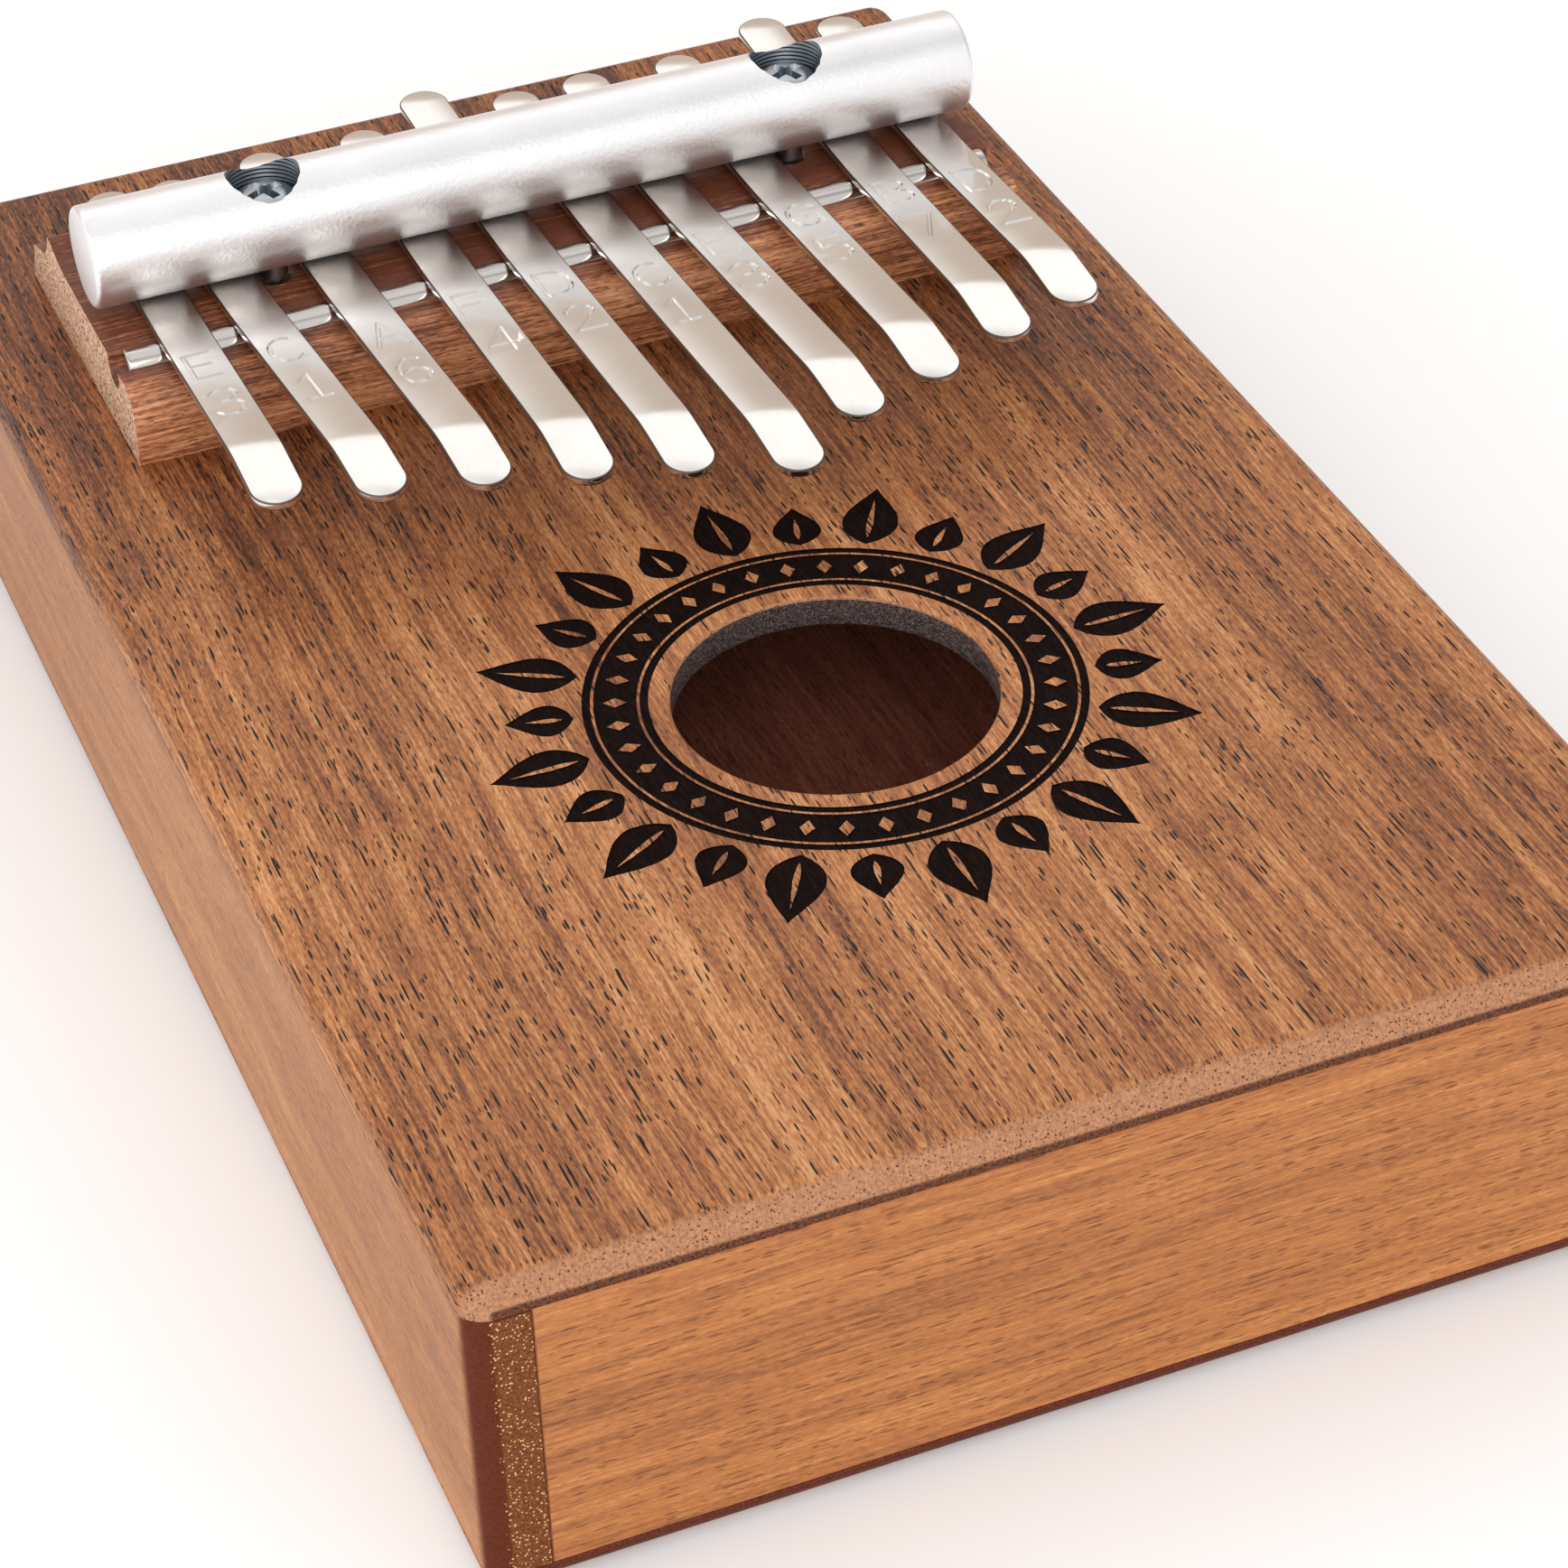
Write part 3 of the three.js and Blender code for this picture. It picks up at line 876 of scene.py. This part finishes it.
def bridge_board():
    outline = [(FRONT + y, SOUNDBOARD + z) for y, z in board_outline()]
    shape = Shape()
    points, triangles = filled(outline)
    for x in (BOARD_LOW.x, BOARD_HIGH.x):
        corners = shape.add([(x, y, z) for y, z in points])
        for triangle, _ in triangles:
            shape.face([corners[i] for i in triangle])
    stations = [BOARD_LOW.x + (BOARD_HIGH.x - BOARD_LOW.x) * i / 8 for i in range(9)]
    shape.loft([[(x, y, z) for y, z in outline] for x in stations])
    piece = shape.piece("bridge_board_wood", 32)
    bevel(piece, BOARD_EASE, 2, 32)
    profile = [(0, DRILL_LOW), (SCREW_HOLE_RADIUS, DRILL_LOW)]
    profile += [(SCREW_HOLE_RADIUS, DRILL_HIGH), (0, DRILL_HIGH)]
    drills = [turned(profile, 32, "Z", (x, BAR_MID.y, 0)).piece("drill") for x in SCREW_PLACES.values()]
    cut(piece, drills, 32)
    finish_piece(piece, [BOARD_WOOD], "board_wood", "bridge_board")


def bar_profile(radius, ease, half, stations):
    """A round bar's profile, with its ends eased and a point at each station along its side."""
    end = [(radius - ease + x, half - ease + y) for x, y in arc(ease, 0, 90, 6)]
    start = [(r, -along) for r, along in end[::-1]]
    body = [(radius, x) for x in stations]
    return [(0, -half), *start, *body, *end, (0, half)]


def bridge_rod():
    half = ROD_HIGH.x
    radius = (ROD_HIGH.z - ROD_LOW.z) / 2
    stations = [half * (i / 10 - 1) for i in range(1, 20)]
    profile = bar_profile(radius, ROD_EASE, half, stations)
    shape = turned(profile, 48, "X", (0, ROD_MID.y, ROD_MID.z))
    piece = shape.piece("bridge_rod_steel", 50)
    finish_piece(piece, [ROD_METAL], "rod_steel", "bridge_rod")


def bore_cutter(x):
    """A counterbore with the fine rings that a boring tool leaves, and the screw hole under it."""
    top = BAR_HIGH.z + 1
    wall = []
    for i in range(BORE_RINGS):
        z = SCREW_SEAT + 0.25 + i * (top - SCREW_SEAT) / BORE_RINGS
        wall.append((COUNTERBORE_RADIUS - (RING_DEPTH if i % 2 else 0.0), z))
    floor = [(SCREW_HOLE_RADIUS, SCREW_SEAT), (3.0, SCREW_SEAT)]
    floor += [(3.1, SCREW_SEAT - 0.06), (4.0, SCREW_SEAT)]
    low = BAR_LOW.z - 1
    profile = [(0, low), (SCREW_HOLE_RADIUS, low), *floor, *wall, (COUNTERBORE_RADIUS, top), (0, top)]
    return turned(profile, 72, "Z", (x, BAR_MID.y, 0), 1).piece("cutter")


def pressure_bar():
    half = BAR_HIGH.x
    radius = (BAR_HIGH.z - BAR_LOW.z) / 2
    stations = sorted(
        [half * (i / 9 - 1) for i in range(1, 18)] + [x + d for x in SCREW_PLACES.values() for d in (-5, 5)]
    )
    profile = bar_profile(radius, BAR_EASE, half, stations)
    piece = turned(profile, 144, "X", (0, BAR_MID.y, BAR_MID.z)).piece("pressure_bar_aluminium", 40)
    for material in (BAR_METAL, BORE_SHADE_METAL):
        piece.data.materials.append(material)
    cut(piece, [bore_cutter(x) for x in SCREW_PLACES.values()], 40)
    finish_piece(piece, [BAR_METAL, BORE_SHADE_METAL], "bar_aluminium", "pressure_bar")


# ---------------------------------------------------------------- the screws

SCREW_LENGTH = 30
SCREW_PITCH = 1.8
THREAD_START = -11
SHANK_RADIUS = 1.75
ROOT_RADIUS = 1.32
THREAD_RISE = 0.53
HEAD_RADIUS = 3.7
HEAD_HEIGHT = 2.6
SCREW_SIDES = 40

# The cross recess's arms as half length, half width and height above the head's seat.
RECESS = ((0.9, 0.3, 0.75), (1.25, 0.36, 1.15), (2.3, 0.58, HEAD_HEIGHT), (2.6, 0.64, 3.4))


def thread_radius(z, angle):
    """A wood screw's radius at a height below its head, with one thread winding round it."""
    if z > THREAD_START:
        return SHANK_RADIUS
    phase = (z / SCREW_PITCH - angle / TAU) % 1.0
    crest = max(1 - abs(phase - 0.5) / 0.22, 0.0)
    ease = min((THREAD_START - z) / 1.2, 1.0)
    point = min(max((z + SCREW_LENGTH) / 6.0, 0.05), 1.0)
    return (ROOT_RADIUS + THREAD_RISE * crest * ease) * point


def screw(side, x):
    shape = Shape()
    seat = Vector((x, BAR_MID.y, SCREW_SEAT + SCREW_RISE))
    rings = []
    steps = int(SCREW_LENGTH / 0.2)
    for i in range(steps):
        z = -SCREW_LENGTH + i * SCREW_LENGTH / steps
        rings.append([(thread_radius(z, TAU * j / SCREW_SIDES), z) for j in range(SCREW_SIDES)])
    head = [(SHANK_RADIUS, -0.02), (2.2, 0.0), (3.5, 0.0), (3.64, 0.06), (HEAD_RADIUS, 0.2)]
    head += [(HEAD_RADIUS, 1.05), (HEAD_RADIUS - 0.06, 1.3), (3.5, 1.65), (3.22, 2.0), (2.85, 2.28)]
    head += [(2.4, 2.47), (1.8, 2.56), (1.0, HEAD_HEIGHT)]
    rings += [[(radius, z)] * SCREW_SIDES for radius, z in head]
    round_it = circle(0, 0, 1, SCREW_SIDES)
    placed = [
        [seat + Vector((r * x, r * y, z)) for (r, z), (x, y) in zip(ring, round_it)]
        for ring in rings
    ]
    low, high = shape.loft(placed)
    for ring, z in ((low, -SCREW_LENGTH), (high, HEAD_HEIGHT)):
        pole = shape.add([seat + Vector((0, 0, z))])[0]
        for i in range(SCREW_SIDES):
            shape.face((ring[i], ring[(i + 1) % SCREW_SIDES], pole))
    piece = shape.piece(f"screw_{side}_steel", 30)
    cut(piece, [recess_arm(seat, turn) for turn in (25, 115)], 30)
    finish_piece(piece, [SCREW_METAL], "screw_steel", f"screw_{side}")


def recess_arm(seat, turn):
    """One tapered arm of the cross recess, as a cutter."""
    shape = Shape()
    angle = math.radians(turn)
    out = Vector((math.cos(angle), math.sin(angle), 0))
    side = Vector((-out.y, out.x, 0))
    rings = []
    for long, wide, z in RECESS:
        corners = [(long, wide), (-long, wide), (-long, -wide), (long, -wide)]
        rings.append([seat + out * x + side * y + Vector((0, 0, z)) for x, y in corners])
    low, high = shape.loft(rings)
    shape.face(low)
    shape.face(high)
    return shape.piece("arm")


def screws():
    for side, x in SCREW_PLACES.items():
        screw(side, x)


# ---------------------------------------------------------------- the tines

# Note marks in a plain stroke letter of the maker's own, each stroke a row of points on a grid 4
# wide and 6 tall. Strokes of more than three points are drawn as smooth bows.
LOOP = [(3.9, 4.9), (3.1, 5.8), (1.8, 6), (0.6, 5.2), (0, 3.8), (0, 2.2), (0.6, 0.8), (1.8, 0), (3.1, 0.2)]
STROKES = {
    "A": [[(0, 0), (2, 6), (4, 0)], [(0.8, 2.2), (3.2, 2.2)]],
    "B": [[(0, 0), (0, 6)], [(0, 6), (2.4, 6), (3.7, 5.3), (3.6, 3.9), (2.4, 3.2), (0, 3.2)],
          [(0, 3.2), (2.6, 3.2), (4, 2.5), (4, 0.8), (2.8, 0), (0, 0)]],
    "C": [[*LOOP, (3.9, 1.1)]],
    "D": [[(0, 0), (0, 6)], [(0, 6), (2, 6), (3.6, 5.2), (4.1, 3), (3.6, 0.8), (2, 0), (0, 0)]],
    "E": [[(3.7, 6), (0, 6)], [(0, 6), (0, 0), (3.7, 0)], [(0, 3.1), (3, 3.1)]],
    "F": [[(3.7, 6), (0, 6), (0, 0)], [(0, 3.1), (3, 3.1)]],
    "G": [[*LOOP, (3.8, 1.1)], [(2.4, 2.6), (3.9, 2.6), (3.9, 0.4)]],
    "1": [[(0.7, 4.6), (2, 6), (2, 0)], [(0.6, 0), (3.4, 0)]],
    "2": [[(0.2, 4.4), (0.6, 5.7), (2, 6.2), (3.6, 5.8), (3.9, 4.2), (2.6, 2.4), (0, 0)], [(0, 0), (4, 0)]],
    "3": [[(0.2, 5.2), (1.2, 6.1), (3, 6.1), (3.9, 4.8), (3.1, 3.4), (1.4, 3.2)],
          [(1.4, 3.2), (3.4, 3), (4.1, 1.5), (3.2, 0), (1.2, -0.1), (0, 0.9)]],
    "4": [[(2.9, 0), (2.9, 6)], [(2.9, 6), (0, 1.8), (4, 1.8)]],
    "5": [[(3.6, 6), (0.6, 6), (0.4, 3.6)],
          [(0.4, 3.6), (2, 4), (3.7, 3.4), (4, 1.6), (3, 0), (1.4, -0.1), (0, 0.6)]],
    "6": [[(3.4, 5.5), (1.8, 6.2), (0.4, 4.8), (-0.1, 2.6), (0.5, 0.3), (2, -0.2), (3.7, 0.4), (3.9, 2.4),
           (2.6, 3.5), (1, 3.1), (0, 2)]],
    "7": [[(0, 6), (4, 6), (1.5, 0)]],
}

# Each tine's mark, and how far in front of the rod its letter sits.
MARKS = (
    ("E3", 8.6), ("C1", 9.6), ("A6", 11.4), ("F4", 9.4), ("D2", 8.9),
    ("C1", 12.2), ("E3", 8.3), ("G5", 6.9), ("B7", 6.4), ("D2", 7.9),
)
GLYPH_WIDTH = 3.4
GLYPH_HEIGHT = 5.6
GLYPH_STEP = 9.1
STROKE = 0.6
STROKE_FLOOR = 0.2
MARK_DEPTH = 0.2
TINE_EASE = 0.16

AT_CLAMP, AT_ROD, AT_RIDGE = 10.5, 10.6, 11.25
CLAMP_FLAT = 2.6
TINE_RISE = 0.05
TIP_LENGTH = 9.7
TIP_DROP = 0.13


def bow(points):
    """A row of points with its corners cut again and again, which makes a smooth bow."""
    for _ in range(3):
        smooth = [points[0]]
        for a, b in zip(points, points[1:]):
            smooth += [a * 0.75 + b * 0.25, a * 0.25 + b * 0.75]
        points = [*smooth, points[-1]]
    return points


def glyph(letter, across, along):
    """A mark's strokes about a point, upright as the player sees it. Each is straight or a smooth bow."""
    strokes = []
    for stroke in STROKES[letter]:
        points = [
            Vector((across + (x / 4 - 0.5) * GLYPH_WIDTH, along + (y / 6 - 0.5) * GLYPH_HEIGHT))
            for x, y in stroke
        ]
        if len(points) > 3:
            strokes.append(bow(points))
        else:
            strokes += [list(pair) for pair in zip(points, points[1:])]
    return strokes


def pen_outline(points, width):
    """The outline that a round pen leaves along a stroke."""
    left = []
    right = []
    last = len(points) - 1
    for i, here in enumerate(points):
        along = (points[min(i + 1, last)] - points[max(i - 1, 0)]).normalized()
        side = Vector((-along.y, along.x)) * width / 2
        left.append(here + side)
        right.append(here - side)
    ends = []
    for here, side in ((points[-1], left[-1] - points[-1]), (points[0], right[0] - points[0])):
        out = Vector((side.y, -side.x))
        turns = (math.pi / 4, math.pi / 2, 3 * math.pi / 4)
        ends.append([here + side * math.cos(a) + out * math.sin(a) for a in turns])
    return [tuple(p) for p in (*left, *ends[0], *right[::-1], *ends[1])]


def groove(x, y, strokes):
    """How far a stamped mark sinks the surface at a point. The sides of each stroke slope."""
    spot = Vector((x, y))
    nearest = STROKE
    for stroke in strokes:
        for start, end in zip(stroke, stroke[1:]):
            run = end - start
            share = min(max((spot - start).dot(run) / run.length_squared, 0.0), 1.0)
            nearest = min(nearest, (spot - start - run * share).length)
    share = (STROKE / 2 - nearest) / (STROKE - STROKE_FLOOR) * 2
    return MARK_DEPTH * min(max(share, 0.0), 1.0)


def tine_height(along, bend_at):
    """The CAD's height of a tine's lower face, above the soundboard."""
    rod_at = ROD_MID.y - BAR_MID.y
    ridge_at = RIDGE_Y - BAR_MID.y
    if along >= 0:
        return AT_CLAMP + (AT_RIDGE - AT_CLAMP) * max(along - CLAMP_FLAT, 0) / (ridge_at - CLAMP_FLAT)
    if along >= rod_at:
        return AT_CLAMP + (AT_ROD - AT_CLAMP) * along / rod_at
    raised = AT_ROD + (rod_at - max(along, bend_at)) * TINE_RISE
    return raised - max(bend_at - along, 0) * TIP_DROP


def bent_height(along, bend_at):
    """The same height with each bend eased over a few millimetres."""
    reach = 1.6
    steps = [reach * (i / 4 - 1) for i in range(9)]
    return sum(tine_height(along + step, bend_at) for step in steps) / len(steps)


def tine_facts(number):
    """A tine's pivot at the bar, its direction towards the tip, and where its ends lie from the bar."""
    name = f"tine_{number:02d}"
    joint = next(j for j in frame["joints"] if j["name"] == f"{name}_tuning")
    hinge = next(j for j in frame["joints"] if j["name"] == f"{name}_pluck")
    towards_tip = Vector(joint["axis"]).normalized()
    rod_point = Vector(hinge["pos_m"]) / MM
    to_bar = (BAR_MID.y - rod_point.y) / towards_tip.y
    pivot = rod_point + towards_tip * to_bar
    reach = [
        -(Vector(v.co) / MM - pivot).dot(towards_tip)
        for part in ("tail", "tongue")
        for v in frame["nodes"][f"{name}_{part}"].data.vertices
    ]
    return pivot, towards_tip, min(reach), max(reach)


def tine_outline(tip, tail, inset):
    """A tine's plan outline with round ends, as [across, along], and the stations along its sides."""
    radius = TINE_WIDTH / 2
    rod_at = ROD_MID.y - BAR_MID.y
    bend_at = tip + TIP_LENGTH
    centre = [tip + radius, tail - radius]
    stations = set()
    for place, reach, step in ((bend_at, 3.0, 0.5), (rod_at, 3.0, 0.75), (0, 2.4, 1.2)):
        stations.update(place + step * i for i in range(-int(reach / step), int(reach / step) + 1))
    gaps = 26
    stations.update(centre[0] + (centre[1] - centre[0]) * i / gaps for i in range(gaps + 1))
    rows = [centre[0]]
    for along in sorted(s for s in stations if centre[0] < s < centre[1]):
        if along - rows[-1] > 0.35:
            rows.append(along)
    rows.append(centre[1])
    r = radius - inset
    tip_arc = [(x, centre[0] + y) for x, y in arc(r, 180, 360, 25)]
    tail_arc = [(x, centre[1] + y) for x, y in arc(r, 0, 180, 25)]
    right = [(r, along) for along in rows[1:-1]]
    left = [(-r, along) for along in rows[-2:0:-1]]
    return tip_arc + right + tail_arc + left, rows


def tine(number, mark, letter_at):
    pivot, towards_tip, tip, tail = tine_facts(number)
    bend_at = tip + TIP_LENGTH
    rod_at = ROD_MID.y - BAR_MID.y
    outline, rows = tine_outline(tip, tail, TINE_EASE)
    lines = [((-TINE_WIDTH / 2 + TINE_EASE, row), (TINE_WIDTH / 2 - TINE_EASE, row)) for row in rows]
    places = (rod_at - letter_at, rod_at - letter_at - GLYPH_STEP)
    strokes = [stroke for letter, along in zip(mark, places) for stroke in glyph(letter, 0, along)]
    outlines = [pen_outline(stroke, width) for width in (STROKE, STROKE_FLOOR) for stroke in strokes]
    shape = Shape()

    def height(x, y):
        return SOUNDBOARD + bent_height(y, bend_at)

    def stamped(x, y):
        return height(x, y) + TINE_THICKNESS - groove(x, y, strokes)

    points, triangles = filled(outline, (), outlines, lines)
    relief(shape, points, triangles, stamped, lambda stroke: 0.0, lambda stroke: 0)
    points, triangles = filled(outline, (), (), lines)
    relief(shape, points, triangles, height, lambda stroke: 0.0, lambda stroke: 0)
    rings = []
    edge = easing(TINE_EASE)
    for inset, drop in edge:
        ring, _ = tine_outline(tip, tail, inset)
        rings.append([(x, y, height(x, y) + TINE_THICKNESS - drop) for x, y in ring])
    for inset, rise in edge[::-1]:
        ring, _ = tine_outline(tip, tail, inset)
        rings.append([(x, y, height(x, y) + rise) for x, y in ring])
    side = len(edge)
    # Slot 1 gives the eased edges the dark edge steel, a painted dark reflection and shade that outlines the
    # tine.
    shape.loft(rings[:side], 1)
    shape.loft(rings[side - 1 : side + 1], 0)
    shape.loft(rings[side:], 1)

    across = Vector((-towards_tip.y, towards_tip.x, 0))
    for i, p in enumerate(shape.points):
        spot = pivot + across * p.x - towards_tip * p.y
        shape.points[i] = Vector((spot.x, spot.y, p.z))
    name = f"tine_{number:02d}"
    piece = shape.piece(f"{name}_steel", 16)

    def on_tine(along):
        spot = pivot - towards_tip * along
        return (spot.x * MM, spot.y * MM, (SOUNDBOARD + AT_ROD) * MM)

    start, end = on_tine(rod_at + 1.0), on_tine(rod_at - 7.0)
    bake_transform(piece, f"{name}_clamped", f"{name}_plucked", start=start, end=end)
    finish_piece(piece, [TINE_METAL, TINE_EDGE_SHADE_METAL], "tine_steel", f"{name}_tail", f"{name}_tongue")


def tines():
    for index, (mark, letter_at) in enumerate(MARKS):
        tine(index + 1, mark, letter_at)


# ---------------------------------------------------------------- floor, light and camera


def floor():
    g = material_graph("studio_floor")
    place = g.place.outputs["Object"]
    soft = g.noise(place, (0.004, 0.004, 0.004), 2)
    fine = g.noise(place, (0.6, 0.6, 0.6), 2)
    colour = g.mix(soft, (0.93, 0.93, 0.93, 1), (0.96, 0.96, 0.96, 1))
    g.set(Base_Color=colour, Roughness=g.span(fine, 0.2, 0.8, 0.8, 0.9), Normal=g.bump(fine, 0.02, 0.2))
    shape = Shape()
    shape.face(shape.add([(-4000, -4000, 0), (4000, -4000, 0), (4000, 4000, 0), (-4000, 4000, 0)]))
    piece = shape.piece("studio_floor")
    piece.data.materials.append(g.owner)


def studio_world():
    """A pale room. Behind the bridge end, a warm grey card stands below a bright panel, and the tines
    mirror the one and their tips the other. In front is the open bright side of the studio."""
    world = bpy.data.worlds.new("studio")
    bpy.context.scene.world = world
    g = Graph(world, "Background")
    way = g.node("ShaderNodeSeparateXYZ", {"Vector": g.place.outputs["Generated"]}).outputs
    behind = g.span(way["Y"], 0.0, 0.35, smooth=True)
    card = g.times(behind, g.span(way["Z"], 0.525, 0.5, smooth=True))
    panel_low = g.span(way["Z"], 0.5, 0.525, smooth=True)
    panel_high = g.span(way["Z"], 0.95, 0.75, smooth=True)
    bright = g.times(behind, g.times(panel_low, panel_high))
    ahead = g.times(g.span(way["Y"], -0.1, -0.5, smooth=True), panel_high)
    left = g.span(way["X"], -0.45, -0.85, smooth=True)
    colour = g.mix(card, (0.58, 0.58, 0.58, 1), (0.71, 0.6, 0.515, 1))
    colour = g.mix(bright, colour, (1.4, 1.4, 1.4, 1))
    colour = g.mix(ahead, colour, (1.0, 1.0, 1.0, 1))
    colour = g.mix(left, colour, (1.05, 1.05, 1.05, 1))
    g.set(Color=colour, Strength=1.0)


def stand(name, data, place):
    holder = bpy.data.objects.new(name, data)
    bpy.context.scene.collection.objects.link(holder)
    holder.location = place
    return holder


def softbox(name, place, width, height, power):
    """A rectangular lamp that faces the middle of the kalimba."""
    lamp = bpy.data.lights.new(name, "AREA")
    lamp.shape = "RECTANGLE"
    lamp.size = width
    lamp.size_y = height
    lamp.energy = power
    aim = Vector((0, 0, 0.03)) - Vector(place)
    stand(name, lamp, place).rotation_euler = aim.to_track_quat("-Z", "Y").to_euler()


def lights():
    studio_world()
    softbox("left_softbox", (-0.9, -0.35, 0.7), 0.7, 0.6, 1.2)
    softbox("front_softbox", (-0.38, -0.95, 0.8), 0.8, 0.6, 5.0)
    softbox("overhead_softbox", (0.1, 0.1, 1.3), 0.9, 0.9, 1.2)


def camera():
    data = bpy.data.cameras.new("camera")
    data.sensor_width = 36
    data.lens = 102.0
    data.shift_x = 0.05
    data.shift_y = 0.05
    data.clip_start = 0.01
    data.clip_end = 20
    holder = stand("camera", data, (-0.14138, -0.38211, 0.31617))
    holder.rotation_euler = [math.radians(a) for a in (51.466, 2.173, -21.678)]
    bpy.context.scene.camera = holder


# ---------------------------------------------------------------- everything

top_plate()
back_plate()
side_panels()
end_panels()
bridge_board()
bridge_rod()
pressure_bar()
screws()
tines()
brace = frame["nodes"]["bridge_brace"]
for place in brace.material_slots:
    place.material = BRACE_WOOD
floor()
lights()
camera()
bpy.context.scene.view_settings.view_transform = "Standard"
